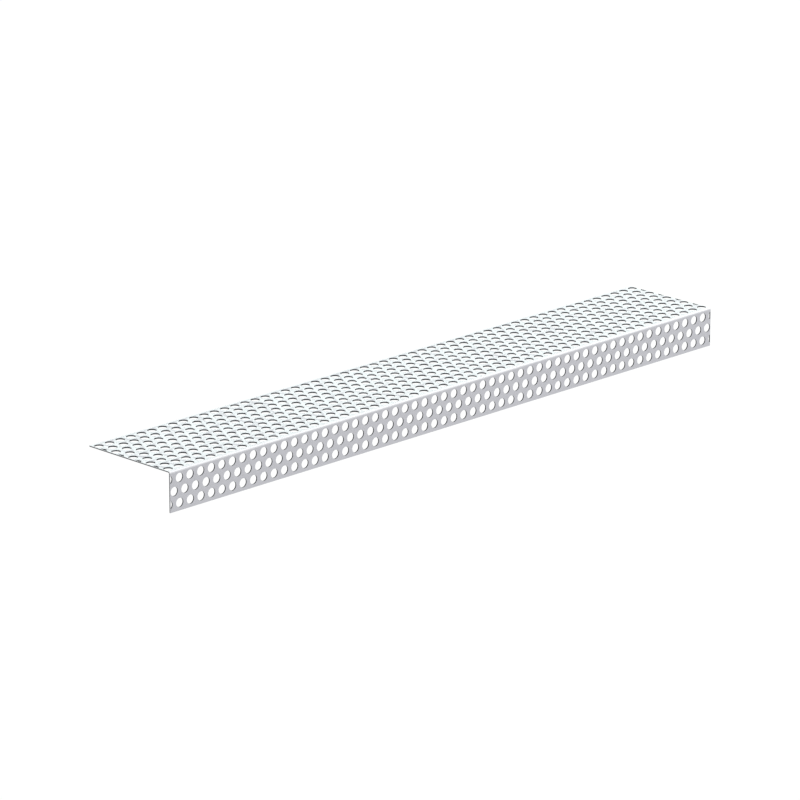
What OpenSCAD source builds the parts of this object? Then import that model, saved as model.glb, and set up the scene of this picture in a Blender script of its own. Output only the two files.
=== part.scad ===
// Perforated ventilation angle: one sheet, punched with staggered round holes
// and folded once along its length into a wide flange and a narrow one.
//
// X runs along the strip, Y from the narrow flange to the free edge of the
// wide flange, and Z up, with the wide flange on top. The origin lies halfway
// along the strip, on the inner face of the narrow flange, in line with the
// row of holes that takes the fixings.

/* [Sheet] */
// Length of the strip
strip_length = 502; // [60:1:1000]
// Width of the wide flange, measured over the fold
wide_flange = 74.5; // [20:0.5:150]
// Height of the narrow flange, measured over the fold
narrow_flange = 27; // [14:0.5:75]
// Thickness of the sheet
sheet_t = 0.8; // [0.5:0.1:2]
// Inner radius of the fold
fold_r = 0.8; // [0.3:0.1:3]

/* [Perforation] */
// Diameter of each hole
hole_d = 6; // [2:0.1:8]
// Spacing of the holes along a row
hole_pitch = 9; // [8.5:0.1:25]
// Spacing of the rows across the wide flange
wide_row_step = 8; // [6:0.1:20]
// Spacing of the rows across the narrow flange
narrow_row_step = 8.2; // [6:0.1:20]

/* [Margins] */
// Plain metal between the fold and the first row of holes
fold_margin = 0.8; // [0.2:0.1:8]
// Least plain metal between the last row and a flange's free edge
edge_margin = 1.5; // [0.5:0.1:4]
// Metal that closes a hole where the end of the strip crosses it
end_web = 0.4; // [0.3:0.1:2]
// Narrowest remainder of a crossed hole that is still punched
least_cut = 0.6; // [0.2:0.1:2]

/* [Hidden] */
$fn = 48;
// Outer radius of the fold, and the first row's distance from the corner
fold_outer_r = fold_r + sheet_t;
first_row = fold_outer_r + fold_margin + hole_d / 2;
// Index of the last row that each flange has room for
wide_last = last_row(wide_flange, wide_row_step);
narrow_last = last_row(narrow_flange, narrow_row_step);
// Row of the narrow flange that takes the fixings, and its depth
fixing_row = floor(narrow_last / 2);
fixing_depth = first_row + fixing_row * narrow_row_step;
// Half the length that holes may occupy
punched_half = strip_length / 2 - end_web;

function last_row(flange, step) =
    floor((flange - first_row - hole_d / 2 - edge_margin) / step);

// Centres of the holes along a row. Every second row is shifted by half a
// pitch, and either kind of row is mirrored about the middle of the strip.
function row_centres(shift) =
    let (last = ceil((punched_half + hole_d / 2) / hole_pitch))
    [for (k = [-last : last])
        let (x = (k + shift) * hole_pitch)
        if (abs(x) < punched_half + hole_d / 2 - least_cut) x];

// One hole in the flat, stopped short of the strip's end where it crosses it
module hole(x) {
    if (abs(x) + hole_d / 2 <= punched_half) {
        translate([x, 0]) circle(d = hole_d);
    } else {
        intersection() {
            translate([x, 0]) circle(d = hole_d);
            square([2 * punched_half, 2 * hole_d], center = true);
        }
    }
}

// Flat flange lying along Y from the end of the fold. The row numbered
// half_row, and every second row from it, has a hole beside the middle.
module flange(width, last, step, half_row) {
    linear_extrude(sheet_t) difference() {
        translate([-strip_length / 2, fold_outer_r])
            square([strip_length, width - fold_outer_r]);
        for (row = [0 : last])
            translate([0, first_row + row * step])
                for (x = row_centres((row + half_row) % 2 == 0 ? 0.5 : 0))
                    hole(x);
    }
}

// Quarter ring that joins the two flanges
module fold() {
    translate([-strip_length / 2, fold_outer_r, -fold_outer_r])
        rotate([90, 0, 90])
            linear_extrude(strip_length) intersection() {
                difference() {
                    circle(fold_outer_r);
                    circle(fold_r);
                }
                translate([-2 * fold_outer_r, 0])
                    square(2 * fold_outer_r);
            }
}

module perforated_angle() {
    color("lightgray")
        translate([0, -sheet_t, fixing_depth]) union() {
            translate([0, 0, -sheet_t])
                flange(wide_flange, wide_last, wide_row_step, 0);
            fold();
            rotate([-90, 0, 0])
                flange(narrow_flange, narrow_last, narrow_row_step, 1);
        }
}

perforated_angle();
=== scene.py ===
"""Perforated ventilation angle: a thin sheet, punched all over and folded once along its length."""

from math import cos, pi, radians, sin

import bmesh
import bpy
from bpy.props import FloatProperty, FloatVectorProperty, IntProperty, PointerProperty
from bpy.types import Operator, Panel, PropertyGroup
from mathutils import Euler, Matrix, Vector


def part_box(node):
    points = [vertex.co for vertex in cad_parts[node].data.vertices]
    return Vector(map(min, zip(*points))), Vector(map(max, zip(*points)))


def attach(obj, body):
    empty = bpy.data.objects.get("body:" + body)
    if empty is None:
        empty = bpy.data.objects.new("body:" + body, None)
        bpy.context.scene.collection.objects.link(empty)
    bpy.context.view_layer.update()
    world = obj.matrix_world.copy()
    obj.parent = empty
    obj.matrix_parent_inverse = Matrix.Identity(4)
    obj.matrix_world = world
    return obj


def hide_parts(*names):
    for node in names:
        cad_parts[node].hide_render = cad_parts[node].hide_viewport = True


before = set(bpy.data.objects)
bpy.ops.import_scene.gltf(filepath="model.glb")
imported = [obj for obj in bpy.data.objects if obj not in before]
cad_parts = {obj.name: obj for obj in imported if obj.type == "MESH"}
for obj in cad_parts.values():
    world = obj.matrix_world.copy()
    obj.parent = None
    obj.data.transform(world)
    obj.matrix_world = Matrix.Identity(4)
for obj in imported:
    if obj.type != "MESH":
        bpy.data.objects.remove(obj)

bl_info = {
    "name": "Perforated ventilation angle",
    "version": (1, 0, 0),
    "blender": (4, 5, 0),
    "location": "View3D > Sidebar > Ventilation angle",
    "description": "Builds a perforated and folded ventilation strip with its stage",
    "category": "Object",
}

CAD_NODE = "perforated_angle"
BODY = "root"

# The frame's own box of the strip, which the sizes below start from
LOW, HIGH = (Vector(corner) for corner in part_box(CAD_NODE))
STRIP_SIZE = HIGH - LOW
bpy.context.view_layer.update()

MM = 0.001

# The punch: how far it stands clear of the sheet on both sides, as a share of the thickness, how
# fast it flares out above, and the share of the wall that it shears before the slug tears off
CLEAR_OF_SHEET = 0.5
FLARE_SLOPE = 2.0
BURNISHED_SHARE = 0.45

# Faces whose normal lies this close to an axis are the sheet's flats
FLAT_ALIGNMENT = 0.9999


class SheetSizes(PropertyGroup):
    """Sizes of the folded sheet before it is punched."""

    length: FloatProperty(
        name="Length", description="Length of the strip",
        default=STRIP_SIZE.x, min=0.06, max=1.0, unit="LENGTH")
    wide_flange: FloatProperty(
        name="Wide flange", description="Width of the top flange, measured over the fold",
        default=STRIP_SIZE.y, min=0.02, max=0.15, unit="LENGTH")
    narrow_flange: FloatProperty(
        name="Narrow flange", description="Height of the hanging flange, measured over the fold",
        default=STRIP_SIZE.z, min=0.014, max=0.075, unit="LENGTH")
    thickness: FloatProperty(
        name="Thickness", description="Thickness of the sheet",
        default=0.8 * MM, min=0.5 * MM, max=2 * MM, precision=5, unit="LENGTH")
    fold_radius: FloatProperty(
        name="Fold radius", description="Inner radius of the fold",
        default=0.8 * MM, min=0.3 * MM, max=3 * MM, precision=5, unit="LENGTH")
    fold_facets: IntProperty(
        name="Fold facets", description="Facets round the outside of the fold",
        default=18, min=4, max=48)
    edge_rounding: FloatProperty(
        name="Edge rounding", description="Rounding that the shear leaves along the outer edges",
        default=0.05 * MM, min=0.02 * MM, max=0.2 * MM, precision=5, unit="LENGTH")


class HoleSizes(PropertyGroup):
    """Sizes of the staggered round holes."""

    diameter: FloatProperty(
        name="Diameter", description="Diameter of each hole",
        default=6 * MM, min=2 * MM, max=8 * MM, precision=5, unit="LENGTH")
    pitch: FloatProperty(
        name="Pitch", description="Spacing of the holes along a row",
        default=9 * MM, min=8.5 * MM, max=25 * MM, precision=5, unit="LENGTH")
    wide_row_step: FloatProperty(
        name="Wide row step", description="Spacing of the rows across the wide flange",
        default=8 * MM, min=6 * MM, max=20 * MM, precision=5, unit="LENGTH")
    narrow_row_step: FloatProperty(
        name="Narrow row step", description="Spacing of the rows across the narrow flange",
        default=8.2 * MM, min=6 * MM, max=20 * MM, precision=5, unit="LENGTH")
    fold_margin: FloatProperty(
        name="Fold margin", description="Plain metal between the fold and the first row",
        default=0.8 * MM, min=0.2 * MM, max=8 * MM, precision=5, unit="LENGTH")
    edge_margin: FloatProperty(
        name="Edge margin", description="Least plain metal beyond the last row",
        default=1.5 * MM, min=0.5 * MM, max=4 * MM, precision=5, unit="LENGTH")
    end_web: FloatProperty(
        name="End web", description="Metal that closes a hole where the strip's end crosses it",
        default=0.4 * MM, min=0.3 * MM, max=2 * MM, precision=5, unit="LENGTH")
    least_cut: FloatProperty(
        name="Least cut", description="Narrowest remainder of a crossed hole that is still punched",
        default=0.6 * MM, min=0.2 * MM, max=2 * MM, precision=5, unit="LENGTH")
    roll_over: FloatProperty(
        name="Roll-over", description="Rounding that the punch leaves where it enters the sheet",
        default=0.06 * MM, min=0.02 * MM, max=0.3 * MM, precision=5, unit="LENGTH")
    breakout: FloatProperty(
        name="Breakout", description="Widening of the hole where the slug tears off",
        default=0.05 * MM, min=0.0, max=0.2 * MM, precision=5, unit="LENGTH")
    facets: IntProperty(
        name="Facets", description="Facets round each hole",
        default=24, min=12, max=48)


class SheetFinish(PropertyGroup):
    """Colours and finish of the metal, with a painted highlight on the fold and painted shade on the cut
    faces.
    """

    sheet_color: FloatVectorProperty(
        name="Sheet colour", description="Reflection colour of the rolled faces",
        default=(0.563, 0.566, 0.600), min=0.0, max=1.0, size=3, subtype="COLOR")
    # Painted highlight: the fold is coloured lighter than the sheet for the light that its curve catches
    fold_color: FloatVectorProperty(
        name="Fold colour", description="Reflection colour of the metal stretched over the fold",
        default=(0.700, 0.708, 0.730), min=0.0, max=1.0, size=3, subtype="COLOR")
    # Painted shade: the cut ends and free edges are coloured far darker than the metal for the shade they lie
    # in
    sheared_color: FloatVectorProperty(
        name="Sheared colour", description="Reflection colour of the strip's cut ends and edges",
        default=(0.150, 0.154, 0.156), min=0.0, max=1.0, size=3, subtype="COLOR")
    # Painted shade: the walls of the holes are coloured near black for the shade inside them
    punched_color: FloatVectorProperty(
        name="Punched colour", description="Reflection colour of the walls of the holes",
        default=(0.034, 0.041, 0.043), min=0.0, max=1.0, size=3, subtype="COLOR")
    roughness: FloatProperty(
        name="Roughness", description="Roughness of the rolled faces",
        default=0.40, min=0.05, max=1.0)
    rolling_lines: FloatProperty(
        name="Rolling lines", description="Contrast of the lines left by the rolls",
        default=0.06, min=0.0, max=0.5)


class StageSettings(PropertyGroup):
    """Camera, lamps and floor."""

    heading: FloatProperty(
        name="Heading", description="Direction that the camera looks in, from +Y towards +X",
        default=radians(45.061), subtype="ANGLE")
    elevation: FloatProperty(
        name="Elevation", description="Height of the camera above the horizon",
        default=radians(17.609), subtype="ANGLE")
    distance: FloatProperty(
        name="Distance", description="Distance of the camera from what it aims at",
        default=3.353, min=0.5, unit="LENGTH")
    aim: FloatVectorProperty(
        name="Aim", description="Point that the camera aims at",
        default=(-0.00495, 0.04393, -0.00512), size=3, precision=5, subtype="TRANSLATION")
    lens: FloatProperty(
        name="Lens", description="Focal length of the camera, in millimetres",
        default=229.7, min=20.0)
    floor_drop: FloatProperty(
        name="Floor drop", description="Distance of the floor below the strip",
        default=0.35, min=0.0, unit="LENGTH")
    overhead_power: FloatProperty(
        name="Overhead", description="Power of the soft lamp overhead, in watts",
        default=4.0, min=0.0)
    back_power: FloatProperty(
        name="Back", description="Power of the soft lamp behind the strip, in watts",
        default=12.2, min=0.0)
    side_power: FloatProperty(
        name="Side", description="Power of the soft lamp high on the right, in watts",
        default=15.0, min=0.0)
    ambient: FloatProperty(
        name="Ambient", description="Strength of the light from all round",
        default=0.97, min=0.0, max=1.0)


class Value:
    """A node's output, on which plain arithmetic adds Math nodes."""

    def __init__(self, nodes, socket):
        self.nodes = nodes
        self.socket = socket

    def math(self, operation, *values):
        return self.nodes.add("ShaderNodeMath", {"operation": operation}, dict(enumerate(values)))

    def __add__(self, other):
        return self.math("ADD", self, other)

    def __radd__(self, other):
        return self.math("ADD", other, self)

    def __sub__(self, other):
        return self.math("SUBTRACT", self, other)

    def __rsub__(self, other):
        return self.math("SUBTRACT", other, self)

    def __mul__(self, other):
        return self.math("MULTIPLY", self, other)

    def __rmul__(self, other):
        return self.math("MULTIPLY", other, self)

    def __truediv__(self, other):
        return self.math("DIVIDE", self, other)

    def __neg__(self):
        return self.math("MULTIPLY", self, -1.0)

    def __abs__(self):
        return self.math("ABSOLUTE", self)

    def __mod__(self, other):
        return self.math("FLOORED_MODULO", self, other)

    def __lt__(self, other):
        return self.math("LESS_THAN", self, other)

    def __gt__(self, other):
        return self.math("GREATER_THAN", self, other)

    def floor(self):
        return self.math("FLOOR", self)

    def ceil(self):
        return self.math("CEIL", self)

    def round(self):
        return self.math("ROUND", self)

    def least(self, other):
        return self.math("MINIMUM", self, other)

    def greatest(self, other):
        return self.math("MAXIMUM", self, other)


class Nodes:
    """Adds nodes to one tree and links them."""

    def __init__(self, tree):
        self.tree = tree

    def node(self, kind, settings=None, sockets=None):
        """A new node. Its settings are set first, then its sockets, by name or by number."""
        node = self.tree.nodes.new(kind)
        for name, setting in (settings or {}).items():
            setattr(node, name, setting)
        for key, value in (sockets or {}).items():
            self.feed(node.inputs[key], value)
        return node

    def add(self, kind, settings=None, sockets=None, output=0):
        """A new node's output, as a value."""
        return Value(self, self.node(kind, settings, sockets).outputs[output])

    def feed(self, socket, value):
        if isinstance(value, (list, tuple)) and value and isinstance(value[0], Value):
            for one in value:
                self.tree.links.new(one.socket, socket)
        elif isinstance(value, Value):
            self.tree.links.new(value.socket, socket)
        else:
            socket.default_value = value

    def parts(self, vector):
        """The three components of a vector."""
        node = self.node("ShaderNodeSeparateXYZ", sockets={0: vector})
        return [Value(self, socket) for socket in node.outputs]

    def vector(self, x, y, z):
        return self.add("ShaderNodeCombineXYZ", sockets={0: x, 1: y, 2: z})



class GeometryTree(Nodes):
    """A Geometry Nodes tree with named inputs and one geometry output."""

    def __init__(self, name, inputs):
        super().__init__(bpy.data.node_groups.new(name, "GeometryNodeTree"))
        self.identifiers = {}
        for label, kind in inputs.items():
            socket = self.tree.interface.new_socket(label, in_out="INPUT", socket_type=kind)
            self.identifiers[label] = socket.identifier
        self.tree.interface.new_socket("Geometry", in_out="OUTPUT", socket_type="NodeSocketGeometry")
        self.inlet = self.tree.nodes.new("NodeGroupInput")

    def given(self, label):
        return Value(self, self.inlet.outputs[label])

    def finish(self, geometry):
        self.node("NodeGroupOutput", sockets={"Geometry": geometry})
        return self.tree

    def pick(self, index, values):
        """The one of several values that the index names, from 0."""
        node = self.node("GeometryNodeIndexSwitch", {"data_type": "FLOAT"}, {"Index": index})
        while len(node.index_switch_items) < len(values):
            node.index_switch_items.new()
        for number, value in enumerate(values):
            self.feed(node.inputs[str(number)], value)
        return Value(self, node.outputs[0])

    def mark(self, geometry, name):
        """Marks every face of the geometry with a named attribute."""
        return self.add(
            "GeometryNodeStoreNamedAttribute", {"data_type": "BOOLEAN", "domain": "FACE"},
            {"Geometry": geometry, "Name": name, "Value": True})

    def marked(self, name):
        return self.add("GeometryNodeInputNamedAttribute", {"data_type": "BOOLEAN"}, {"Name": name})


def section(sizes, inset=0.0):
    """The sheet's cross-section, as (y, z) points in order round it, shrunk all round by inset."""
    thickness = sizes.thickness
    outer_radius = sizes.fold_radius + thickness
    top = HIGH.z
    front = LOW.y
    back = front + sizes.wide_flange
    bottom = top - sizes.narrow_flange
    centre = (front + outer_radius, top - outer_radius)
    soft = max(sizes.edge_rounding - inset, 0.0)

    def arc(middle, radius, start, stop, facets):
        turns = [radians(start + (stop - start) * step / facets) for step in range(facets + 1)]
        return [(middle[0] + radius * cos(turn), middle[1] + radius * sin(turn)) for turn in turns]

    def corner(y, z, start):
        return arc((y, z), soft, start, start - 90, 3)

    points = corner(front + inset + soft, bottom + inset + soft, 270)
    points += arc(centre, outer_radius - inset, 180, 90, sizes.fold_facets)
    points += corner(back - inset - soft, top - inset - soft, 90)
    points.append((back - inset, top - thickness + inset))
    points += arc(centre, sizes.fold_radius + inset, 90, 180, sizes.fold_facets)
    points.append((front + thickness - inset, bottom + inset))
    return points


def folded_blank(sizes):
    """The folded sheet without holes: its section run along X, with softened ends."""
    half = sizes.length / 2
    soft = sizes.edge_rounding
    stations = [(-half, soft), (soft - half, 0.0), (half - soft, 0.0), (half, soft)]
    mesh = bpy.data.meshes.new("folded_blank")
    work = bmesh.new()
    rings = [[work.verts.new((x, y, z)) for y, z in section(sizes, inset)] for x, inset in stations]
    for near, far in zip(rings, rings[1:]):
        for this, (a, b) in enumerate(zip(near, near[1:] + near[:1])):
            after = (this + 1) % len(far)
            work.faces.new((a, far[this], far[after], b))
    work.faces.new(rings[0])
    work.faces.new(reversed(rings[-1]))
    bmesh.ops.remove_doubles(work, verts=work.verts, dist=0.1 * soft)
    bmesh.ops.recalc_face_normals(work, faces=work.faces)
    work.to_mesh(mesh)
    work.free()
    sheared = mesh.attributes.new("sheared", "BOOLEAN", "FACE")
    for face in mesh.polygons:
        sheared.data[face.index].value = is_sheared(face.center, face.normal, sizes)
    return mesh


def is_sheared(place, normal, sizes):
    """Whether a face of the blank was cut: at an end of the strip or a free edge of a flange."""
    end = normal.x ** 2 > 0.5
    far_edge = normal.y > 0.5 and place.y > LOW.y + sizes.wide_flange - sizes.thickness
    lower_edge = normal.z < -0.5 and place.z < HIGH.z - sizes.narrow_flange + sizes.thickness
    return end or far_edge or lower_edge


def punch(tree, radius):
    """The shape that one stroke of the punch takes out, standing on the face it enters, at z = 0.

    From the top down it flares where the sheet rolls over, runs straight through the
    burnished part of the wall, and widens again where the slug breaks out.
    """
    thickness = tree.given("Thickness")
    roll_over = tree.given("Roll-over")
    clear = thickness * CLEAR_OF_SHEET
    torn = thickness * (1 - BURNISHED_SHARE)
    levels = [
        (radius + roll_over + clear * FLARE_SLOPE, clear),
        (radius + roll_over * 0.3, roll_over * -0.35),
        (radius, -roll_over),
        (radius, thickness * -BURNISHED_SHARE),
        (radius + tree.given("Breakout") * ((torn + clear) / torn), -thickness - clear),
    ]
    spans = len(levels) - 1
    drum = tree.add("GeometryNodeMeshCylinder", {"fill_type": "NGON"}, {
        "Vertices": tree.given("Facets"), "Side Segments": spans,
        "Radius": 1.0, "Depth": float(spans)})
    x, y, z = tree.parts(tree.add("GeometryNodeInputPosition"))
    level = (spans / 2 - z).round()
    spread = tree.pick(level, [radius for radius, _ in levels])
    depth = tree.pick(level, [depth for _, depth in levels])
    return tree.add("GeometryNodeSetPosition", sockets={
        "Geometry": drum, "Position": tree.vector(x * spread, y * spread, depth)})


def flange_punches_tree():
    """Punches for one flat flange, in staggered rows along X, from the fold's corner at y = 0."""
    tree = GeometryTree("Flange punches", {
        "Rows": "NodeSocketInt", "Row Step": "NodeSocketFloat", "First Row": "NodeSocketFloat",
        "Shifted Row": "NodeSocketInt", "Length": "NodeSocketFloat", "Pitch": "NodeSocketFloat",
        "Diameter": "NodeSocketFloat", "Thickness": "NodeSocketFloat",
        "End Web": "NodeSocketFloat", "Least Cut": "NodeSocketFloat",
        "Roll-over": "NodeSocketFloat", "Breakout": "NodeSocketFloat", "Facets": "NodeSocketInt"})
    radius = tree.given("Diameter") / 2
    pitch = tree.given("Pitch")
    reach = tree.given("Length") / 2 - tree.given("End Web")
    columns = ((reach + radius) / pitch).ceil() * 2 + 1
    index = tree.add("GeometryNodeInputIndex")
    row = (index / columns).floor()
    shift = 0.5 - (row + tree.given("Shifted Row")) % 2.0 * 0.5
    along = (index % columns - (columns - 1) / 2 + shift) * pitch
    across = tree.given("First Row") + row * tree.given("Row Step")
    points = tree.add("GeometryNodePoints", sockets={
        "Count": tree.given("Rows") * columns, "Position": tree.vector(along, across, 0.0)})
    offset = abs(tree.parts(tree.add("GeometryNodeInputPosition"))[0])
    instances = tree.add("GeometryNodeInstanceOnPoints", sockets={
        "Points": points, "Instance": punch(tree, radius),
        "Selection": offset < reach + radius - tree.given("Least Cut")})
    punches = tree.add("GeometryNodeRealizeInstances", sockets={"Geometry": instances})
    between_webs = tree.add("GeometryNodeMeshCube", sockets={
        "Size": tree.vector(reach * 2, 1.0, 1.0)})
    return tree.finish(tree.add(
        "GeometryNodeMeshBoolean", {"operation": "INTERSECT", "solver": "MANIFOLD"},
        {1: [punches, between_webs]}))


def perforations_tree():
    """Punches both flanges of the folded blank and gives each kind of surface its material."""
    tree = GeometryTree("Perforations", {
        "Blank": "NodeSocketGeometry", "Corner": "NodeSocketVector", "Length": "NodeSocketFloat",
        "Wide Rows": "NodeSocketInt", "Narrow Rows": "NodeSocketInt",
        "Wide Row Step": "NodeSocketFloat", "Narrow Row Step": "NodeSocketFloat",
        "First Row": "NodeSocketFloat", "Pitch": "NodeSocketFloat", "Diameter": "NodeSocketFloat",
        "Thickness": "NodeSocketFloat", "End Web": "NodeSocketFloat",
        "Least Cut": "NodeSocketFloat", "Roll-over": "NodeSocketFloat",
        "Breakout": "NodeSocketFloat", "Facets": "NodeSocketInt",
        "Sheet": "NodeSocketMaterial", "Sheared": "NodeSocketMaterial",
        "Punched": "NodeSocketMaterial"})
    group = flange_punches_tree()
    shared = ["First Row", "Length", "Pitch", "Diameter", "Thickness", "End Web", "Least Cut",
              "Roll-over", "Breakout", "Facets"]

    def punches(flange, shifted_row, turn):
        laid_flat = tree.add("GeometryNodeGroup", {"node_tree": group}, {
            "Rows": tree.given(f"{flange} Rows"), "Row Step": tree.given(f"{flange} Row Step"),
            "Shifted Row": shifted_row, **{label: tree.given(label) for label in shared}})
        return tree.add("GeometryNodeTransform", sockets={
            "Geometry": laid_flat, "Translation": tree.given("Corner"), "Rotation": turn})

    flat = (0.0, 0.0, 0.0)
    hanging_face_out = (radians(-90), 0.0, radians(180))
    tools = tree.add("GeometryNodeJoinGeometry", sockets={
        0: [punches("Wide", 0, flat), punches("Narrow", 1, hanging_face_out)]})
    blank, tools = (
        tree.add("GeometryNodeSetMaterial", sockets={"Geometry": part, "Material": tree.given("Sheet")})
        for part in (tree.given("Blank"), tree.mark(tools, "punched")))
    strip = tree.add("GeometryNodeMeshBoolean", {"operation": "DIFFERENCE", "solver": "MANIFOLD"}, {
        0: blank, 1: tools})
    whole = tree.add("GeometryNodeRealizeInstances", sockets={"Geometry": strip})
    for label in ("Sheared", "Punched"):
        whole = tree.add("GeometryNodeSetMaterial", sockets={
            "Geometry": whole, "Selection": tree.marked(label.lower()),
            "Material": tree.given(label)})
    tree.finish(whole)
    return tree


def row_count(width, row_step, holes, first_row):
    """How many rows of holes fit across a flange."""
    room = width - first_row - holes.diameter / 2 - holes.edge_margin
    return int(room / row_step + 0.001) + 1


def punched_strip(sheet, holes, materials):
    """The folded sheet with its holes, as one plain mesh."""
    first_row = sheet.thickness + sheet.fold_radius + holes.fold_margin + holes.diameter / 2
    strip = bpy.data.objects.new("perforated_strip", folded_blank(sheet))
    bpy.context.collection.objects.link(strip)
    tree = perforations_tree()
    modifier = strip.modifiers.new("Perforations", "NODES")
    modifier.node_group = tree.tree
    inputs = {
        "Corner": (0.0, LOW.y, HIGH.z), "Length": sheet.length,
        "Wide Rows": row_count(sheet.wide_flange, holes.wide_row_step, holes, first_row),
        "Narrow Rows": row_count(sheet.narrow_flange, holes.narrow_row_step, holes, first_row),
        "Wide Row Step": holes.wide_row_step, "Narrow Row Step": holes.narrow_row_step,
        "First Row": first_row, "Pitch": holes.pitch, "Diameter": holes.diameter,
        "Thickness": sheet.thickness, "End Web": holes.end_web, "Least Cut": holes.least_cut,
        "Roll-over": holes.roll_over, "Breakout": holes.breakout, "Facets": holes.facets,
        **materials}
    for label, value in inputs.items():
        modifier[tree.identifiers[label]] = value
    shaped = strip.evaluated_get(bpy.context.evaluated_depsgraph_get())
    mesh = bpy.data.meshes.new_from_object(shaped)
    strip.modifiers.clear()
    blank, strip.data = strip.data, mesh
    bpy.data.meshes.remove(blank)
    for face in mesh.polygons:
        face.use_smooth = max(abs(part) for part in face.normal) < FLAT_ALIGNMENT
    mesh.set_sharp_from_angle(angle=radians(40))
    return strip


class ShaderTree(Nodes):
    """The nodes of one new material."""

    def __init__(self, name):
        self.material = bpy.data.materials.new(name)
        self.material.use_nodes = True
        super().__init__(self.material.node_tree)
        self.tree.nodes.clear()

    def place(self):
        """The point of the strip that is shaded."""
        return self.add("ShaderNodeTexCoord", output="Object")

    def noise(self, place, cycles, detail=2.0):
        """Noise about 0.5, with this many cycles in a metre along each axis."""
        stretched = self.add("ShaderNodeMapping", sockets={"Vector": place, "Scale": cycles})
        return self.add("ShaderNodeTexNoise", sockets={
            "Vector": stretched, "Scale": 1.0, "Detail": detail})

    def rise(self, value, start, stop):
        """0 up to start, 1 from stop on, eased between them."""
        return self.add("ShaderNodeMapRange", {"interpolation_type": "SMOOTHSTEP"}, {
            "Value": value, "From Min": start, "From Max": stop})

    def blend(self, share, first, second):
        """A colour from first, where the share is 0, to second, where it is 1."""
        return self.add("ShaderNodeMix", {"data_type": "RGBA"}, {
            0: share, 6: first, 7: second}, output=2)

    def finish(self, color, roughness, relief, relief_height):
        """Ends in a bare metal whose relief is given as heights from 0 to 1."""
        normal = self.add("ShaderNodeBump", sockets={
            "Height": relief, "Distance": relief_height, "Strength": 1.0})
        metal = self.add("ShaderNodeBsdfPrincipled", sockets={
            "Base Color": color, "Roughness": roughness, "Metallic": 1.0, "Normal": normal})
        self.node("ShaderNodeOutputMaterial", sockets={"Surface": metal})
        return self.material


def toned(color, factor):
    """A colour made lighter or darker, with its alpha."""
    return (*(part * factor for part in color), 1.0)


def rolled_metal(sheet, finish):
    """Mill finish: fine lines and faint bands from the rolls, a soft bloom, and a duller fold whose lighter
    colour is a painted highlight.
    """
    tree = ShaderTree("Rolled aluminium")
    place = tree.place()
    lines = tree.noise(place, (14.0, 2400.0, 2400.0), detail=3.0)
    bands = tree.noise(place, (1.6, 170.0, 170.0))
    bloom = tree.noise(place, (55.0, 75.0, 75.0), detail=4.0)
    x, y, z = tree.parts(place)
    # The fold's band: rougher and bumpier where the metal is stretched, and painted lighter there as a
    # highlight
    outer = sheet.thickness + sheet.fold_radius
    stretched = (tree.rise(y, LOW.y + outer, LOW.y + outer * 0.75)
                 * tree.rise(z, HIGH.z - outer, HIGH.z - outer * 0.75))
    shade = lines * 0.5 + bands * 0.25 + bloom * 0.25
    dark, light = (
        tree.blend(stretched, toned(finish.sheet_color, factor), toned(finish.fold_color, factor))
        for factor in (1 - finish.rolling_lines, 1 + finish.rolling_lines))
    color = tree.blend(shade, dark, light)
    roughness = finish.roughness - 0.07 + lines * 0.08 + bloom * 0.06 + stretched * 0.06
    return tree.finish(color, roughness, lines + stretched * bloom, 0.012 * MM)


def cut_metal(name, color, sheet):
    """A wall cut through the sheet, in a colour painted dark as shade: bright and scored where it was
    sheared, grainy where it tore.
    """
    tree = ShaderTree(name)
    place = tree.place()
    x, y, z = tree.parts(place)
    behind_front = y - LOW.y
    depth = behind_front.least(HIGH.z - z)
    hanging = behind_front < sheet.thickness * 1.1
    across = y + hanging * (z - y)
    scores = tree.noise(tree.vector(x, across, 0.0), (2600.0, 2600.0, 1.0))
    grain = tree.noise(place, (4200.0, 4200.0, 4200.0), detail=3.0)
    edge_of_tear = sheet.thickness * BURNISHED_SHARE
    torn = tree.rise(depth + scores * (0.2 * MM), edge_of_tear + 0.05 * MM, edge_of_tear + 0.15 * MM)
    burnished_color = tree.blend(scores, toned(color, 0.95), toned(color, 1.45))
    torn_color = tree.blend(grain, toned(color, 0.55), toned(color, 1.15))
    roughness = 0.30 + scores * 0.1 + torn * (0.12 + grain * 0.2)
    return tree.finish(tree.blend(torn, burnished_color, torn_color), roughness,
                       scores * (1 - torn) * 0.4 + grain * torn, 0.03 * MM)


class ANGLE_OT_make_strip(Operator):
    """Folds the sheet, punches its holes and gives it its finishes"""

    bl_idname = "angle.make_strip"
    bl_label = "Make the strip"

    def execute(self, context):
        scene = context.scene
        sheet, holes, finish = scene.angle_sheet, scene.angle_holes, scene.angle_finish
        strip = punched_strip(sheet, holes, {
            "Sheet": rolled_metal(sheet, finish),
            "Sheared": cut_metal("Sheared edge", finish.sheared_color, sheet),
            "Punched": cut_metal("Punched wall", finish.punched_color, sheet)})
        if not strip.data.polygons:
            raise RuntimeError("the strip has no faces")
        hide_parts(CAD_NODE)
        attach(strip, BODY)
        return {"FINISHED"}


WHITE = (1.0, 1.0, 1.0, 1.0)


def shown(nodes):
    """1 for the rays that show the stage: from the camera, off gloss and through glass."""
    path = nodes.node("ShaderNodeLightPath")
    camera, gloss, glass = (
        Value(nodes, path.outputs[f"Is {kind} Ray"]) for kind in ("Camera", "Glossy", "Transmission"))
    return camera.greatest(gloss).greatest(glass)


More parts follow.
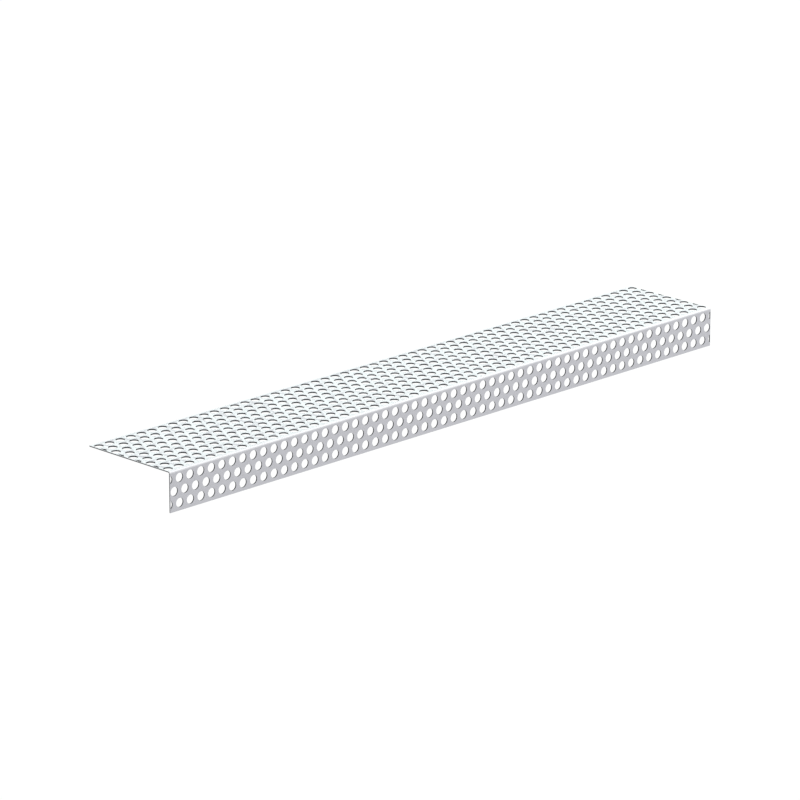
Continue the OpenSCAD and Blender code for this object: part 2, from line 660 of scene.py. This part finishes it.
def make_floor(drop):
    """A wide pale floor that shows white and still takes the strip's shadow."""
    level = LOW.z - drop
    mesh = bpy.data.meshes.new("studio_floor")
    reach = 12.0
    corners = [(-reach, -reach, level), (reach, -reach, level), (reach, reach, level), (-reach, reach, level)]
    mesh.from_pydata(corners, [], [(0, 1, 2, 3)])
    nodes = ShaderTree("Studio floor")
    matte = nodes.add("ShaderNodeBsdfDiffuse", sockets={"Color": WHITE})
    white = nodes.add("ShaderNodeEmission", sockets={"Color": WHITE, "Strength": 1.0})
    mixed = nodes.add("ShaderNodeMixShader", sockets={0: shown(nodes) * 0.85, 1: matte, 2: white})
    nodes.node("ShaderNodeOutputMaterial", sockets={"Surface": mixed})
    mesh.materials.append(nodes.material)
    floor = bpy.data.objects.new("studio_floor", mesh)
    bpy.context.collection.objects.link(floor)


def make_world(ambient):
    """A white studio all round, which lights the strip evenly."""
    world = bpy.data.worlds.new("White studio")
    world.use_nodes = True
    world.node_tree.nodes.clear()
    nodes = Nodes(world.node_tree)
    studio = nodes.add("ShaderNodeBackground", sockets={
        "Color": WHITE, "Strength": shown(nodes) * (1 - ambient) + ambient})
    nodes.node("ShaderNodeOutputWorld", sockets={"Surface": studio})
    bpy.context.scene.world = world


def make_lamp(name, place, size, power, color):
    """A soft rectangular lamp that faces the strip."""
    lamp = bpy.data.lights.new(name, "AREA")
    lamp.shape = "RECTANGLE"
    lamp.size, lamp.size_y = size
    lamp.energy = power
    lamp.color = color
    holder = bpy.data.objects.new(name, lamp)
    holder.location = place
    holder.rotation_euler = (-Vector(place)).to_track_quat("-Z", "Y").to_euler()
    holder.visible_camera = False
    bpy.context.collection.objects.link(holder)


def make_camera(stage):
    camera = bpy.data.cameras.new("Camera")
    camera.lens = stage.lens
    holder = bpy.data.objects.new("Camera", camera)
    holder.rotation_euler = Euler((pi / 2 - stage.elevation, 0.0, -stage.heading))
    back_from_aim = holder.rotation_euler.to_matrix() @ Vector((0.0, 0.0, stage.distance))
    holder.location = Vector(stage.aim) + back_from_aim
    bpy.context.collection.objects.link(holder)
    bpy.context.scene.camera = holder


class ANGLE_OT_make_stage(Operator):
    """Sets up the white studio, its lamps and the camera"""

    bl_idname = "angle.make_stage"
    bl_label = "Make the stage"

    def execute(self, context):
        stage = context.scene.angle_stage
        make_world(stage.ambient)
        make_floor(stage.floor_drop)
        make_lamp("Overhead lamp", (0.0, 0.0, 2.6), (2.4, 2.4), stage.overhead_power, (1.0, 1.0, 1.0))
        make_lamp("Back lamp", (2.0, 2.0, 0.95), (2.6, 1.2), stage.back_power, (0.84, 1.0, 0.90))
        make_lamp("Side lamp", (2.1, -0.6, 2.0), (3.0, 1.8), stage.side_power, (1.0, 1.0, 1.0))
        make_camera(stage)
        context.scene.view_settings.view_transform = "Standard"
        return {"FINISHED"}


class VIEW3D_PT_ventilation_angle(Panel):
    bl_idname = "VIEW3D_PT_ventilation_angle"
    bl_label = "Ventilation angle"
    bl_space_type = "VIEW_3D"
    bl_region_type = "UI"
    bl_category = "Ventilation angle"

    def draw(self, context):
        for name, group in SETTINGS.items():
            box = self.layout.box()
            box.label(text=group.__doc__)
            for setting in group.__annotations__:
                box.prop(getattr(context.scene, name), setting)
        self.layout.operator(ANGLE_OT_make_strip.bl_idname)
        self.layout.operator(ANGLE_OT_make_stage.bl_idname)


SETTINGS = {
    "angle_sheet": SheetSizes,
    "angle_holes": HoleSizes,
    "angle_finish": SheetFinish,
    "angle_stage": StageSettings,
}
CLASSES = (*SETTINGS.values(), ANGLE_OT_make_strip, ANGLE_OT_make_stage, VIEW3D_PT_ventilation_angle)


def register():
    for kind in CLASSES:
        bpy.utils.register_class(kind)
    for name, group in SETTINGS.items():
        setattr(bpy.types.Scene, name, PointerProperty(type=group))


def unregister():
    for name in SETTINGS:
        delattr(bpy.types.Scene, name)
    for kind in reversed(CLASSES):
        bpy.utils.unregister_class(kind)


def main():
    register()
    bpy.ops.angle.make_strip()
    bpy.ops.angle.make_stage()


if __name__ == "__main__":
    main()
